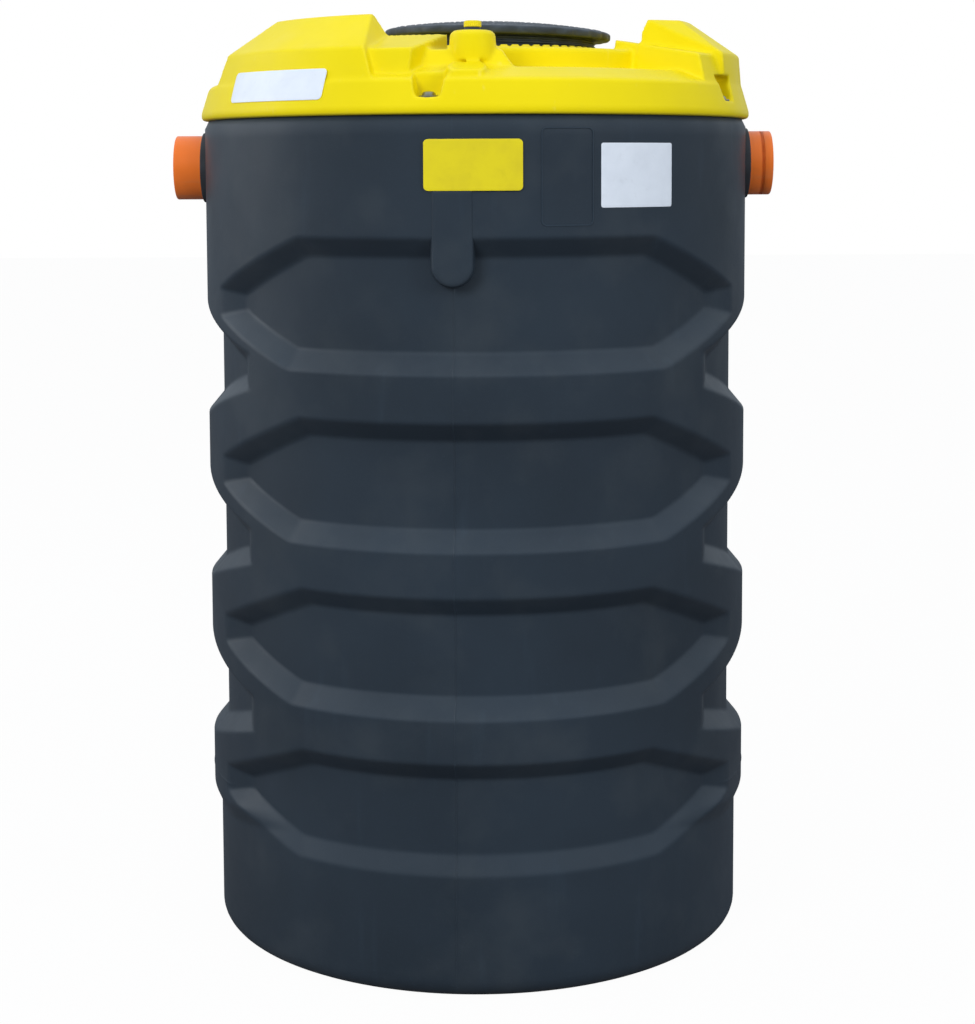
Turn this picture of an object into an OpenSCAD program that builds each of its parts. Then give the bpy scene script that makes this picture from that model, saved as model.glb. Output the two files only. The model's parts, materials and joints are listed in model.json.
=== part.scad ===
// Upright moulded septic tank with a bolted-on cover, a round manhole lid
// and two drain pipe stubs.
// Origin: centre of the base, on the ground. +Z is up, the front looks along -Y.
// Azimuths are counted from the front, positive towards +X (the inlet side).

/* [Tank] */
// Outside radius of the tank wall
tank_r = 530; // [510:5:560]
// Height of the tank from the ground to the seat of the cover
tank_h = 1578; // [1560:2:1640]
// Thickness of the moulded tank wall
wall_t = 8; // [6:0.5:9]
// Radius of the foot band under the panels
foot_r = 516; // [508:1:522]
// Height of the top edge of the foot band
foot_band_h = 240; // [230:1:250]
// Rounding of the edge between foot band and base
foot_round = 32; // [20:1:40]
// Width of the rim that carries the cover, inwards from the wall
rim_w = 52; // [45:1:60]

/* [Recessed panels] */
// Depth of the recessed panels
recess_depth = 30; // [24:1:32]
// Height of the plain band between the highest front panel and the top edge of the tank
front_band = 214; // [200:1:228]
// Height of the top edge of the lowest front panel
front_last_top = 434; // [430:1:450]
// Height of the highest front panel
front_panel_h = 238; // [232:1:242]
// Azimuth at which the top edge of a front panel turns down
front_corner = 37; // [34:0.5:39]
// Azimuth of the tips of a front panel
front_tip = 65; // [62:0.5:66]
// Height of the plain band between the highest side panel and the top edge of the tank
side_band = 345; // [338:1:353]
// Height of the top edge of the lowest side panel
side_last_top = 586; // [582:1:592]
// Height of the highest side panel
side_panel_h = 220; // [214:1:224]
// Half angle of the flat top edge of a side panel
side_corner = 7; // [5:0.5:9]
// Half angle from the middle to the tips of a side panel
side_tip = 38; // [36:0.5:39]

/* [Front rib] */
// Width of the rib on the front of the tank
rib_w = 70; // [60:1:80]
// Distance from the top edge of the tank down to the top of the rib
rib_drop = 108; // [80:1:130]
// How far the round lower end of the rib reaches down into the highest front panel
rib_reach = 83; // [64:1:94]
// How far the rib stands out from the tank wall
rib_proud = 3; // [2:0.5:6]

/* [Cover] */
// Thickness of the moulded cover
cover_t = 6; // [4:0.5:7]
// How far the lower lip of the cover stands out over the tank wall
lip_over = 6; // [4:1:10]
// Height of the lip of the cover
lip_h = 12; // [10:1:18]
// Height of the skirt of the cover
skirt_h = 65; // [60:1:70]
// Rise of the sloping shoulder over the skirt
shoulder_rise = 19; // [15:1:24]
// Width of the sloping shoulder
shoulder_w = 52; // [46:1:58]

/* [Humps] */
// Height of the outer edge of a hump over the skirt
hump_edge_h = 54; // [48:1:60]
// Height of the crest of a hump over the skirt
hump_h = 118; // [110:1:126]
// Radius of the crest of the humps
crest_r = 408; // [400:1:416]
// Radius of the inner foot of the humps
hump_foot_r = 372; // [371:1:380]
// Lean of the end faces of the humps
hump_lean = 20; // [14:1:24]
// Height of the inner edge of the steps beside the humps, over the skirt
step_h = 82; // [76:1:88]
// Height of the outer edge of the steps, over the skirt
step_edge_h = 51; // [46:1:53]

/* [Screw pockets] */
// Number of screw pockets round the cover
pockets = 5; // [4:1:6]
// Azimuth of the first screw pocket
pocket_az = -9; // [-10:0.5:-8]
// Height of the floor of a pocket over the seat of the cover
pocket_h = 30; // [26:1:36]
// Width of a pocket at its floor
pocket_w = 42; // [36:1:48]
// Depth of a pocket, inwards from the lip
pocket_depth = 44; // [38:1:46]

/* [Manhole] */
// Distance of the manhole from the middle of the tank
manhole_x = 44; // [36:1:46]
// Radius of the turret round the manhole
turret_r = 324; // [318:1:326]
// Height of the turret over the deck
turret_h = 43; // [38:1:48]
// Radius of the manhole lid
lid_r = 222; // [215:1:230]
// Height of the rim of the manhole lid
lid_rim_h = 14; // [11:1:18]
// Rise of the domed top of the lid over its rim
lid_dome_h = 20; // [14:1:30]
// Number of grip flutes round the rim of the lid
lid_grips = 30; // [24:1:36]
// Tilt of the lid, which sits a little crooked on its thread
lid_tilt = 1.3; // [0:0.1:1.5]
// Radius of the neck under the lid
neck_r = 193; // [185:1:197]
// Width of the gap that shows the neck between collar and lid
neck_gap = 20; // [14:1:26]
// Clearance of the thread between neck and collar
thread_gap = 0.6; // [0.5:0.1:1]
// Radial thickness of the collar round the neck
collar_t = 8; // [6:1:12]
// Height of the collar over the turret
collar_h = 11; // [8:1:14]

/* [Vent] */
// Diameter of the round boss that carries the vent
vent_boss_d = 84; // [76:1:92]
// Height of the vent boss
vent_boss_h = 33; // [28:1:38]
// Diameter of the vent
vent_d = 31; // [26:1:36]
// Height of the cap on the vent
vent_cap_h = 11; // [8:1:14]

/* [Pipes] */
// Outside diameter of the drain pipes
pipe_d = 125; // [110:1:125]
// Wall thickness of the drain pipes
pipe_t = 3.2; // [2.5:0.1:4]
// Distance from the top edge of the tank down to the axis of the inlet pipe
inlet_drop = 85; // [80:1:98]
// Distance from the top edge of the tank down to the axis of the outlet pipe
outlet_drop = 90; // [82:1:103]
// Length of the inlet pipe outside the tank
inlet_out = 52; // [45:1:90]
// Length of the outlet pipe outside the tank
outlet_out = 60; // [45:1:90]
// Length of each pipe inside the tank wall
pipe_in = 70; // [50:1:90]
// Thickness of the rubber seal round each pipe
seal_t = 4.5; // [3.5:0.1:6]
// Depth of the groove in each pipe that the seal sits in
pipe_groove = 0.8; // [0.6:0.1:1.5]
// Gap left between a pipe, its seal and the wall
fit_gap = 0.2; // [0.1:0.05:0.4]

/* [Hidden] */
$fn = 144;

BODY = [0.17, 0.20, 0.24];
YELLOW = [0.97, 0.86, 0.06];
BLACK = [0.10, 0.11, 0.12];
ORANGE = [0.85, 0.35, 0.12];

far = 2 * tank_r;
recess_r = tank_r - recess_depth;

// Rows of panels: each row down is a little lower than the one above
front_rows = 4;
front_shrink = 10;
front_pitch_step = 13;
side_rows = 3;
side_shrink = 5.5;
side_pitch_step = 9;
function row_top(top, pitch, step, i) = top - pitch * i + step * i * (i - 1) / 2;
function first_pitch(top, last_top, step, rows) =
    (top - last_top + step * (rows - 1) * (rows - 2) / 2) / (rows - 1);
front_top = tank_h - front_band;
front_pitch = first_pitch(front_top, front_last_top, front_pitch_step, front_rows);
side_top = tank_h - side_band;
side_pitch = first_pitch(side_top, side_last_top, side_pitch_step, side_rows);

// Slopes of the recess walls, as height lost per millimetre of depth
top_slope = 1.13;
bottom_slope = 1.2;
// Tips of the panels: width of their slope in degrees, how far they lie below the middle of the
// panel, half heights, and how the inner tip is narrower. Beyond its tips a panel closes up to
// lines closed_gap apart that rise by close_rise a degree.
tip_width = 6.7;
tip_drop = 8;
front_tip_half = 26;
side_tip_half = 33;
tip_bevel = 12;
tip_taper = 0.1;
corner_shift = 3;
close_rise = 1;
closed_gap = 6;
inside_shift = 0.38;
foot_step_h = 32;
foot_gap = 8;
front_low = row_top(front_top, front_pitch, front_pitch_step, front_rows - 1)
    - front_panel_h + front_shrink * (front_rows - 1);

// Azimuths of the wall sections: every corner of a panel, and even steps between
half_front = [0, 5, 10, 15, 20, 25, 30, front_corner - 1, front_corner, front_corner + 2,
    front_corner + corner_shift, 45];
half_side = [0, 3, side_corner - 1, side_corner, side_corner + 2, side_corner + corner_shift, 15, 20,
    25, 28, side_tip - tip_width, 90 - front_tip + tip_width, 35, side_tip, 41, 45];
front_azimuths = concat([for (i = [len(half_front) - 1:-1:1]) -half_front[i]], half_front);
side_azimuths = [for (a = concat([for (i = [len(half_side) - 1:-1:1]) -half_side[i]], half_side)) 90 + a];

platform_h = 32;
deck_z = tank_h + skirt_h + shoulder_rise;
skirt_z = tank_h + skirt_h;
lip_r = tank_r + lip_over;
skirt_r = lip_r - 14;
ridge_r = skirt_r - 20;
edge_chamfer = 6;
shoulder_r = skirt_r - edge_chamfer - shoulder_w;
rim_t = wall_t;
rim_gap = 0.6;
turret_z = deck_z + turret_h;
collar_r = neck_r + thread_gap + collar_t;
collar_z = turret_z + collar_h;
lid_z = collar_z + neck_gap;
seal_flange = 7;
seat_pipe_r = pipe_d / 2 - pipe_groove;
seal_r = seat_pipe_r + fit_gap + seal_t;
seal_in = tank_r - 3 * wall_t;
seal_out = tank_r + seal_flange;
platform_z = deck_z + platform_h;
shoulder_boss_d = 70;
shoulder_boss_x = -14;
hump_inner_drop = 33;
hump_flat = 6;
// Azimuths of the two ends of each hump
hump_left_az = [-70, -20.5];
hump_right_az = [61, 112];
hump_back_az = [166, 214];
// The oblique end of the left step goes through a point at this azimuth and radius
step_left_az = -14;
step_left_r = 507;
step_left_skew = -18;
step_right_az = 54;
step_reach_r = 315;
right_lean = 5;
platform_az = 10;
platform_lean = 30;
platform_slope = 22;
split_z = 60;
top_chamfer = 16;
rib_x = -16;
seat_r = tank_r - rim_w;
rib_top = tank_h - rib_drop;
rib_bottom = front_top - rib_reach;
inlet_z = tank_h - inlet_drop;
outlet_z = tank_h - outlet_drop;
pocket_flare = 12;
neck_depth = 40;
vent_x = -4;
vent_neck_h = 6;
vent_y = 425;

// ---- shared forms ----

// Turns its children from the front to an azimuth
module at_azimuth(a) {
    rotate([0, 0, a]) children();
}

// Height between two heights, as an azimuth goes from a0 to a1
function between(a, a0, a1, z0, z1) = z0 + (z1 - z0) * min(1, max(0, (a - a0) / (a1 - a0)));

// Section through one panel, d degrees from its middle, as [depth, height] from top to bottom.
// Past its tips the panel has no depth and its corners close up.
function panel_rows(d, top, bottom, low_slope, corner, tip, tip_half, grow) =
    let (tip_z = (top + bottom) / 2 - tip_drop)
    let (rest = tip_z + max(0, d - tip) * close_rise)
    let (in_tip = tip - tip_width)
    let (depth = between(d, in_tip, tip, recess_depth, 0))
    let (up = grow * inside_shift)
    d > tip + 0.01
        ? [for (k = [1.5, 0.5, -0.5, -1.5]) [0, rest + closed_gap * k]]
        : [
            [0, between(d, corner, tip, top, tip_z + tip_half) + up],
            [depth, between(d, corner - 1, in_tip, top - recess_depth * top_slope,
                tip_z + tip_half - tip_bevel) - (recess_depth - depth) * tip_taper + up],
            [depth, between(d, corner + corner_shift - 1, in_tip, bottom + recess_depth * low_slope,
                tip_z - tip_half + tip_bevel) + (recess_depth - depth) * tip_taper - up],
            [0, between(d, corner + corner_shift, tip, bottom, tip_z - tip_half) - up]
        ];

function front_rows_at(d, i, grow) =
    let (top = row_top(front_top, front_pitch, front_pitch_step, i))
    panel_rows(d, top, top - front_panel_h + front_shrink * i, bottom_slope,
        front_corner, front_tip, front_tip_half, grow);

function side_rows_at(d, i, grow) =
    let (top = row_top(side_top, side_pitch, side_pitch_step, i))
    panel_rows(90 - d, top, top - side_panel_h + side_shrink * i, bottom_slope,
        side_corner, side_tip, side_tip_half, grow);

// The step from the wall to the foot band: it runs out under the lowest front panel
function foot_rows_at(d) =
    let (in = tank_r - foot_r)
    let (a0 = front_corner + corner_shift)
    [
        [between(d, a0, front_tip, in, 0),
            between(d, a0, front_tip, front_low - foot_gap, foot_band_h + foot_step_h)],
        [in, between(d, a0, front_tip, front_low - 2 * foot_gap, foot_band_h)],
        [in, split_z]
    ];

// Section of the wall at an azimuth, as [radius, height] from top to bottom
function wall_rows(a, sides, grow) =
    let (d = abs(a - 180 * round(a / 180)))
    let (in = tank_r - foot_r)
    let (lowest = front_rows_at(d, front_rows - 1, grow))
    let (foot = between(d, front_corner + corner_shift, front_tip, in, 0))
    let (rows = concat(
        [[top_chamfer / 2, tank_h], [0, tank_h - top_chamfer]],
        [for (i = [0:front_rows - 2], r = concat(front_rows_at(d, i, grow),
            sides ? side_rows_at(d, i, grow) : [])) r],
        [lowest[0], lowest[1], lowest[2], [foot, lowest[3][1]]],
        foot_rows_at(d)
    ))
    [for (r = rows) [tank_r - r[0] - grow, r[1]]];

// A wall of even thickness through the sections at the listed azimuths
module wall_solid(azimuths, sides) {
    outside = [for (a = azimuths) wall_rows(a, sides, 0)];
    inside = [for (a = azimuths) wall_rows(a, sides, wall_t)];
    n = len(azimuths);
    m = len(outside[0]);
    points = [for (g = [outside, inside], i = [0:n - 1], r = g[i])
        [r[0] * sin(azimuths[i]), -r[0] * cos(azimuths[i]), r[1]]];
    skin = n * m;
    polyhedron(points, concat(
        [for (i = [0:n - 2], j = [0:m - 2], f = strip(i * m + j, i * m + m + j, 1)) f],
        [for (i = [0:n - 2], j = [0:m - 2], f = strip(skin + i * m + m + j, skin + i * m + j, 1)) f],
        [for (i = [0:n - 2], f = strip(i * m, skin + i * m, m)) f],
        [for (i = [0:n - 2], f = strip(skin + i * m + m - 1, i * m + m - 1, m)) f],
        [for (j = [0:m - 2], f = strip(j, skin + j, 1)) [f[0], f[2], f[1]]],
        [for (j = [0:m - 2], f = strip(skin + skin - m + j, skin - m + j, 1)) [f[0], f[2], f[1]]]
    ));
}

// Two triangles between the points p, p + next and q, q + next
function strip(p, q, next) = [[p, q, q + next], [p, q + next, p + next]];

// The hole in the wall that takes the seal of a pipe
module pipe_bore(side, z) {
    translate([0, 0, z])
        rotate([0, 90 * side, 0])
            cylinder(r = seal_r, h = far);
}

// ---- tank ----

// Bottom and rounded foot of the tank
module tank_base() {
    color(BODY)
        rotate_extrude()
            polygon(concat(
                [[0, 0]],
                [for (a = [0:15:90])
                    [foot_r - foot_round + foot_round * sin(a), foot_round - foot_round * cos(a)]],
                [[foot_r, split_z], [foot_r - wall_t, split_z]],
                [for (a = [90:-15:0])
                    [foot_r - foot_round + (foot_round - wall_t) * sin(a),
                        foot_round - (foot_round - wall_t) * cos(a)]],
                [[0, wall_t]]
            ));
}

module wall_front() {
    color(BODY) wall_solid(front_azimuths, false);
}

module wall_back() {
    color(BODY) rotate([0, 0, 180]) wall_solid(front_azimuths, false);
}

module wall_right() {
    color(BODY)
        difference() {
            wall_solid(side_azimuths, true);
            pipe_bore(1, inlet_z);
        }
}

module wall_left() {
    color(BODY)
        difference() {
            rotate([0, 0, 180]) wall_solid(side_azimuths, true);
            pipe_bore(-1, outlet_z);
        }
}

// Upright rib that crosses the highest front panel and ends in a half round
module front_rib() {
    color(BODY)
        intersection() {
            rotate_extrude()
                polygon([
                    [recess_r, rib_bottom], [recess_r, front_top - recess_depth * top_slope],
                    [tank_r, front_top], [tank_r, rib_top],
                    [tank_r + rib_proud, rib_top - rib_proud], [tank_r + rib_proud, rib_bottom]
                ]);
            rotate([90, 0, 0])
                linear_extrude(far) {
                    translate([rib_x, rib_bottom + rib_w / 2]) circle(d = rib_w);
                    translate([rib_x - rib_w / 2, rib_bottom + rib_w / 2])
                        square([rib_w, rib_top - rib_bottom]);
                }
        }
}

// Flat rim that closes the top of the wall inwards and carries the cover
module tank_rim() {
    outer = tank_r - wall_t - top_chamfer / 2 - rim_gap;
    color(BODY)
        translate([0, 0, tank_h - rim_t])
            difference() {
                cylinder(r = outer, h = rim_t);
                translate([0, 0, -1])
                    cylinder(r = seat_r, h = rim_t + 2);
            }
}

// ---- cover ----

// Section of the cover from its lip to the inner edge of its shoulder
module cover_section() {
    polygon([
        [shoulder_r, tank_h], [lip_r - edge_chamfer, tank_h], [lip_r, tank_h + edge_chamfer],
        [lip_r, tank_h + lip_h], [skirt_r, skirt_z - edge_chamfer],
        [skirt_r - edge_chamfer, skirt_z], [shoulder_r, deck_z]
    ]);
}

// The notches for the screws, open outwards and upwards
module pocket_cuts() {
    for (i = [0:pockets - 1])
        at_azimuth(pocket_az + i * 360 / pockets)
            translate([0, pocket_depth - lip_r, 0])
                rotate([90, 0, 0])
                    linear_extrude(far)
                        polygon([
                            [-pocket_w / 2, tank_h + pocket_h], [pocket_w / 2, tank_h + pocket_h],
                            [pocket_w / 2 + pocket_flare, deck_z], [-pocket_w / 2 - pocket_flare, deck_z]
                        ]);
}

// Lip, skirt and sloping shoulder of the cover, with its screw pockets
module cover_skirt() {
    color(YELLOW)
        difference() {
            rotate_extrude() cover_section();
            pocket_cuts();
        }
}

// Flat deck inside the shoulder, open round the manhole
module cover_deck() {
    color(YELLOW)
        difference() {
            translate([0, 0, deck_z - cover_t])
                cylinder(r = shoulder_r, h = cover_t);
            translate([manhole_x, 0, 0])
                cylinder(r = turret_r - cover_t, h = far * 2);
        }
}

// Section of a hump with a flat top between two radii and its outer edge at a third.
// Every face is moved inwards by grow, and the bottom is left open.
module hump_section(top_in, top_out, edge, grow) {
    top = skirt_z + hump_h;
    offset(delta = -grow)
        polygon([
            [hump_foot_r, deck_z - 2 * grow], [hump_foot_r, top - hump_inner_drop],
            [top_in, top], [top_out, top], [edge, skirt_z + hump_edge_h],
            [skirt_r - edge_chamfer, skirt_z], [skirt_r - edge_chamfer, skirt_z - 2 * grow],
            [shoulder_r, deck_z - 2 * grow]
        ]);
}

// The space on the -X side of a plane through the axis that leans back from the skirt's top
module leaning_end(lean, grow) {
    translate([0, 0, skirt_z])
        rotate([0, -lean, 0])
            translate([-far - grow, -far, -far / 2])
                cube([far, 2 * far, far]);
}

// The half of space in front of the axis
module front_half() {
    translate([-far / 2, -far, 0]) cube([far, far, 2 * far]);
}

// Body between leaning ends at two azimuths, cut from the ring of which its child is the section
module between_ends(az, first_lean, grow) {
    intersection() {
        rotate_extrude() children();
        at_azimuth(az[1]) leaning_end(hump_lean, grow);
        at_azimuth(az[0]) mirror([1, 0, 0]) leaning_end(first_lean, grow);
        at_azimuth((az[0] + az[1]) / 2) front_half();
    }
}

// A hollow hump that stands on the deck and the shoulder
module hump(az, first_lean, top_in, top_out, edge) {
    color(YELLOW)
        difference() {
            between_ends(az, first_lean, 0) hump_section(top_in, top_out, edge, 0);
            between_ends(az, first_lean, cover_t) hump_section(top_in, top_out, edge, cover_t);
        }
}

module hump_left() narrow_hump(hump_left_az);
module hump_right() hump(hump_right_az, right_lean, hump_foot_r + 4, crest_r + 16, skirt_r - edge_chamfer);
module hump_back() narrow_hump(hump_back_az);

module narrow_hump(az) hump(az, hump_lean, crest_r - hump_flat, crest_r + hump_flat, ridge_r);

// Section of the lower blocks beside the humps, from an inner radius outwards
module step_section(inner) {
    polygon([
        [inner, deck_z], [inner, skirt_z + step_h], [ridge_r - 2, skirt_z + step_edge_h],
        [skirt_r - edge_chamfer, skirt_z], [shoulder_r, deck_z]
    ]);
}

// The space beyond the oblique upright end of the left step
module step_left_end(gap) {
    at_azimuth(step_left_az)
        translate([gap, gap - step_left_r, 0])
            rotate([0, 0, step_left_skew]) leaning_end(0, 0);
}

// Block that leads up to the left hump, with an oblique end beside the vent
module step_left() {
    color(YELLOW)
        intersection() {
            rotate_extrude() step_section(hump_foot_r);
            step_left_end(0);
            at_azimuth(hump_left_az[1])
                difference() {
                    front_half();
                    leaning_end(hump_lean, 0);
                }
        }
}

// Block that leads up to the right hump and reaches inwards over the turret
module step_right() {
    color(YELLOW)
        difference() {
            intersection() {
                rotate_extrude() step_section(step_reach_r);
                at_azimuth(step_right_az) mirror([1, 0, 0]) leaning_end(hump_lean / 2, 0);
                at_azimuth(hump_right_az[0])
                    difference() {
                        front_half();
                        mirror([1, 0, 0]) leaning_end(right_lean, 0);
                    }
            }
            translate([manhole_x, 0, 0]) cylinder(r = turret_r + fit_gap, h = turret_z);
        }
}

// ---- manhole ----

// Drum that carries the manhole collar, with a flat top
module manhole_turret() {
    color(YELLOW)
        translate([manhole_x, 0, 0])
            rotate_extrude()
                polygon([
                    [turret_r - cover_t, deck_z], [turret_r, deck_z], [turret_r, turret_z - 6],
                    [turret_r - 6, turret_z], [collar_r - collar_t, turret_z],
                    [collar_r - collar_t, turret_z - cover_t], [turret_r - cover_t, turret_z - cover_t]
                ]);
}

// Ring round the neck, with a scalloped upper edge
module manhole_collar() {
    scallops = 60;
    scallop_r = 6;
    color(YELLOW)
        translate([manhole_x, 0, 0])
            difference() {
                translate([0, 0, turret_z])
                    cylinder(r = collar_r, h = collar_h);
                translate([0, 0, turret_z - 1])
                    cylinder(r = neck_r + thread_gap, h = collar_h + 2);
                for (i = [0:scallops - 1])
                    rotate([0, 0, i * 360 / scallops])
                        translate([neck_r - collar_t, 0, collar_z + scallop_r / 2])
                            rotate([0, 90, 0])
                                cylinder(r = scallop_r, h = 3 * collar_t);
            }
}

// Moves its children to the top of the turret and tilts them with the lid
module on_thread() {
    translate([manhole_x, 0, turret_z]) rotate([0, lid_tilt, 0]) children();
}

// Threaded neck of the lid, plain outside, that hangs in the collar
module manhole_neck() {
    neck_t = 5;
    color(BLACK)
        on_thread()
            translate([0, 0, -neck_depth])
                difference() {
                    cylinder(r = neck_r, h = lid_z - turret_z + neck_depth);
                    translate([0, 0, -1])
                        cylinder(r = neck_r - neck_t, h = lid_z - turret_z + neck_depth + 2);
                }
}

// Domed lid with an upright rim that is fluted for the hands
module manhole_lid() {
    edge = 4;
    grip_r = 40;
    grip_depth = 2;
    dome_steps = 6;
    color(BLACK)
        on_thread()
            translate([0, 0, lid_z - turret_z])
                difference() {
                    rotate_extrude()
                        polygon(concat(
                            [[0, 0], [lid_r - edge, 0], [lid_r, edge], [lid_r, lid_rim_h - edge]],
                            [for (i = [dome_steps:-1:0])
                                let (t = i / dome_steps)
                                [(lid_r - edge) * t, lid_rim_h + lid_dome_h * (1 - t * t)]]
                        ));
                    for (i = [0:lid_grips - 1])
                        rotate([0, 0, i * 360 / lid_grips])
                            translate([lid_r + grip_r - grip_depth, 0, -1])
                                cylinder(r = grip_r, h = lid_rim_h - edge + 1);
                }
}

// ---- vent ----

// Flat block between the turret and the left step, with a leaning right end
module vent_platform() {
    color(YELLOW)
        difference() {
            intersection() {
                rotate_extrude()
                    polygon([[turret_r - manhole_x, deck_z], [turret_r - manhole_x, platform_z],
                        [shoulder_r - platform_slope, platform_z], [shoulder_r, deck_z]]);
                at_azimuth(platform_az) leaning_end(platform_lean, 0);
                at_azimuth(hump_left_az[1]) mirror([1, 0, 0]) leaning_end(0, 0);
                front_half();
            }
            step_left_end(fit_gap);
            translate([manhole_x, 0, 0])
                cylinder(r = turret_r, h = 2 * far);
        }
}

// Moves its children to the foot of the vent
module on_platform() {
    translate([vent_x, -vent_y, platform_z]) children();
}

module vent_boss() {
    color(YELLOW)
        on_platform()
            rotate_extrude()
                polygon([[0, 0], [vent_boss_d / 2, 0], [vent_boss_d / 2 - 2, vent_boss_h - 7],
                    [vent_boss_d / 2 - 9, vent_boss_h], [0, vent_boss_h]]);
}

module vent_neck() {
    color(BLACK)
        on_platform()
            translate([0, 0, vent_boss_h])
                cylinder(d = vent_d - 1, h = vent_neck_h);
}

module vent_cap() {
    color(YELLOW)
        on_platform()
            translate([0, 0, vent_boss_h + vent_neck_h])
                cylinder(d = vent_d, h = vent_cap_h);
}

// Low round boss on the shoulder in front of the vent
module shoulder_boss() {
    rise = 9;
    inset = 3;
    fall = inset * shoulder_rise / shoulder_w;
    color(YELLOW)
        intersection() {
            rotate_extrude()
                polygon([
                    [shoulder_r + inset, deck_z - fall], [shoulder_r + inset, deck_z + rise],
                    [skirt_r - edge_chamfer - inset, skirt_z + rise + 2],
                    [skirt_r - edge_chamfer - inset, skirt_z + fall]
                ]);
            translate([shoulder_boss_x, -shoulder_r - shoulder_w / 2, skirt_z])
                cylinder(d = shoulder_boss_d, h = far);
        }
}

// ---- pipes ----

// Open pipe through the wall, with a shallow groove all round for its seal
module pipe(side, z, out) {
    r = pipe_d / 2;
    color(ORANGE)
        translate([0, 0, z])
            rotate([0, 90 * side, 0])
                rotate_extrude()
                    polygon([
                        [r - pipe_t, tank_r - pipe_in], [r, tank_r - pipe_in],
                        [r, seal_in - fit_gap], [seat_pipe_r, seal_in - fit_gap],
                        [seat_pipe_r, seal_out + fit_gap], [r, seal_out + fit_gap],
                        [r, tank_r + out], [r - pipe_t, tank_r + out]
                    ]);
}

module inlet_pipe() pipe(1, inlet_z, inlet_out);
module outlet_pipe() pipe(-1, outlet_z, outlet_out);

// Rubber ring in the wall, with a flange outside
module seal(side, z) {
    color(BLACK)
        difference() {
            translate([0, 0, z])
                rotate([0, 90 * side, 0])
                    difference() {
                        union() {
                            translate([0, 0, seal_in])
                                cylinder(r = seal_r - fit_gap, h = seal_out - seal_in);
                            translate([0, 0, tank_r - wall_t])
                                cylinder(r = seal_r + 2, h = wall_t + seal_flange);
                        }
                        cylinder(r = seat_pipe_r + fit_gap, h = far);
                    }
            difference() {
                cylinder(r = tank_r + fit_gap, h = 2 * far);
                translate([0, 0, z])
                    rotate([0, 90 * side, 0])
                        cylinder(r = seal_r - fit_gap + 0.001, h = far);
            }
        }
}

module inlet_seal() seal(1, inlet_z);
module outlet_seal() seal(-1, outlet_z);

tank_base();
wall_front();
wall_right();
wall_back();
wall_left();
front_rib();
tank_rim();
cover_skirt();
cover_deck();
hump_left();
hump_right();
hump_back();
step_left();
step_right();
manhole_turret();
manhole_collar();
manhole_neck();
manhole_lid();
vent_platform();
vent_boss();
vent_neck();
vent_cap();
shoulder_boss();
inlet_pipe();
outlet_pipe();
inlet_seal();
outlet_seal();
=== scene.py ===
"""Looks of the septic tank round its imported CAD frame. Lengths in this file are in millimetres."""

import json
import math

import bmesh
import bpy
import numpy as np
from mathutils import Matrix, Vector


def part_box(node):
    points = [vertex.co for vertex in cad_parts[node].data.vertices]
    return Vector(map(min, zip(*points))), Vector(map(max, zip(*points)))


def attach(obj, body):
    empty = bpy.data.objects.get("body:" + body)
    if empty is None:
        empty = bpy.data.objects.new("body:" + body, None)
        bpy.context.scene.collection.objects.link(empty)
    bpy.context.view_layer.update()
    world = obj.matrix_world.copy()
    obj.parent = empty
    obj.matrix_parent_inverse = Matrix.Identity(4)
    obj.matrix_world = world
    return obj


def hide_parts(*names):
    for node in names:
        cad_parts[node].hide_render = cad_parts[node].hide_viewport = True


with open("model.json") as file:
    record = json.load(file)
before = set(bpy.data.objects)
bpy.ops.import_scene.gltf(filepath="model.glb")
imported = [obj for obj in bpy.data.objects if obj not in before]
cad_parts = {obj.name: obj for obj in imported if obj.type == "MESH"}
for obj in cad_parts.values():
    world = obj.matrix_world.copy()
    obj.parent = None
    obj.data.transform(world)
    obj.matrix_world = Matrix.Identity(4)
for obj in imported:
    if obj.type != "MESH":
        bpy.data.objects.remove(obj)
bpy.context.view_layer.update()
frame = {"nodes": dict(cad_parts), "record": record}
scene = bpy.context.scene
MM = 0.001


def box(node):
    """Lowest and highest corner of a CAD node in millimetres."""
    low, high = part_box(node)
    return Vector(low) / MM, Vector(high) / MM


def middle(node, axis):
    """Middle of a CAD node along an axis, 0 to 2."""
    low, high = box(node)
    return (low[axis] + high[axis]) / 2


def half_size(node, axis):
    """Half of a CAD node's size along an axis, 0 to 2."""
    low, high = box(node)
    return (high[axis] - low[axis]) / 2


# ---- sizes, read from the frame ----

TANK_R = box("wall_right")[1].x
TANK_H = box("wall_front")[1].z
LIP_R = box("cover_skirt")[1].x
DECK_Z = box("cover_deck")[1].z
TURRET_Z = box("manhole_turret")[1].z
TURRET_R = half_size("manhole_turret", 1)
MANHOLE_X = middle("manhole_turret", 0)
COLLAR_R = box("manhole_collar")[1].y
COLLAR_Z = box("manhole_collar")[1].z
LID_R = box("manhole_lid")[1].y
PLATFORM_Z = box("vent_platform")[1].z
VENT_X = middle("vent_boss", 0)
VENT_Y = middle("vent_boss", 1)
VENT_BOSS_R = half_size("vent_boss", 0)
VENT_BOSS_Z = box("vent_boss")[1].z
VENT_CAP_R = half_size("vent_cap", 0)
VENT_CAP_LOW = box("vent_cap")[0].z
VENT_CAP_TOP = box("vent_cap")[1].z
HUMP_TOP = box("hump_left")[1].z
FOOT_R = box("tank_base")[1].x
RIB_HALF = half_size("front_rib", 0)
RIB_LOW = box("front_rib")[0].z
RIB_TOP = box("front_rib")[1].z


# ---- sizes of the forms that this scene adds or refines ----

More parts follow.
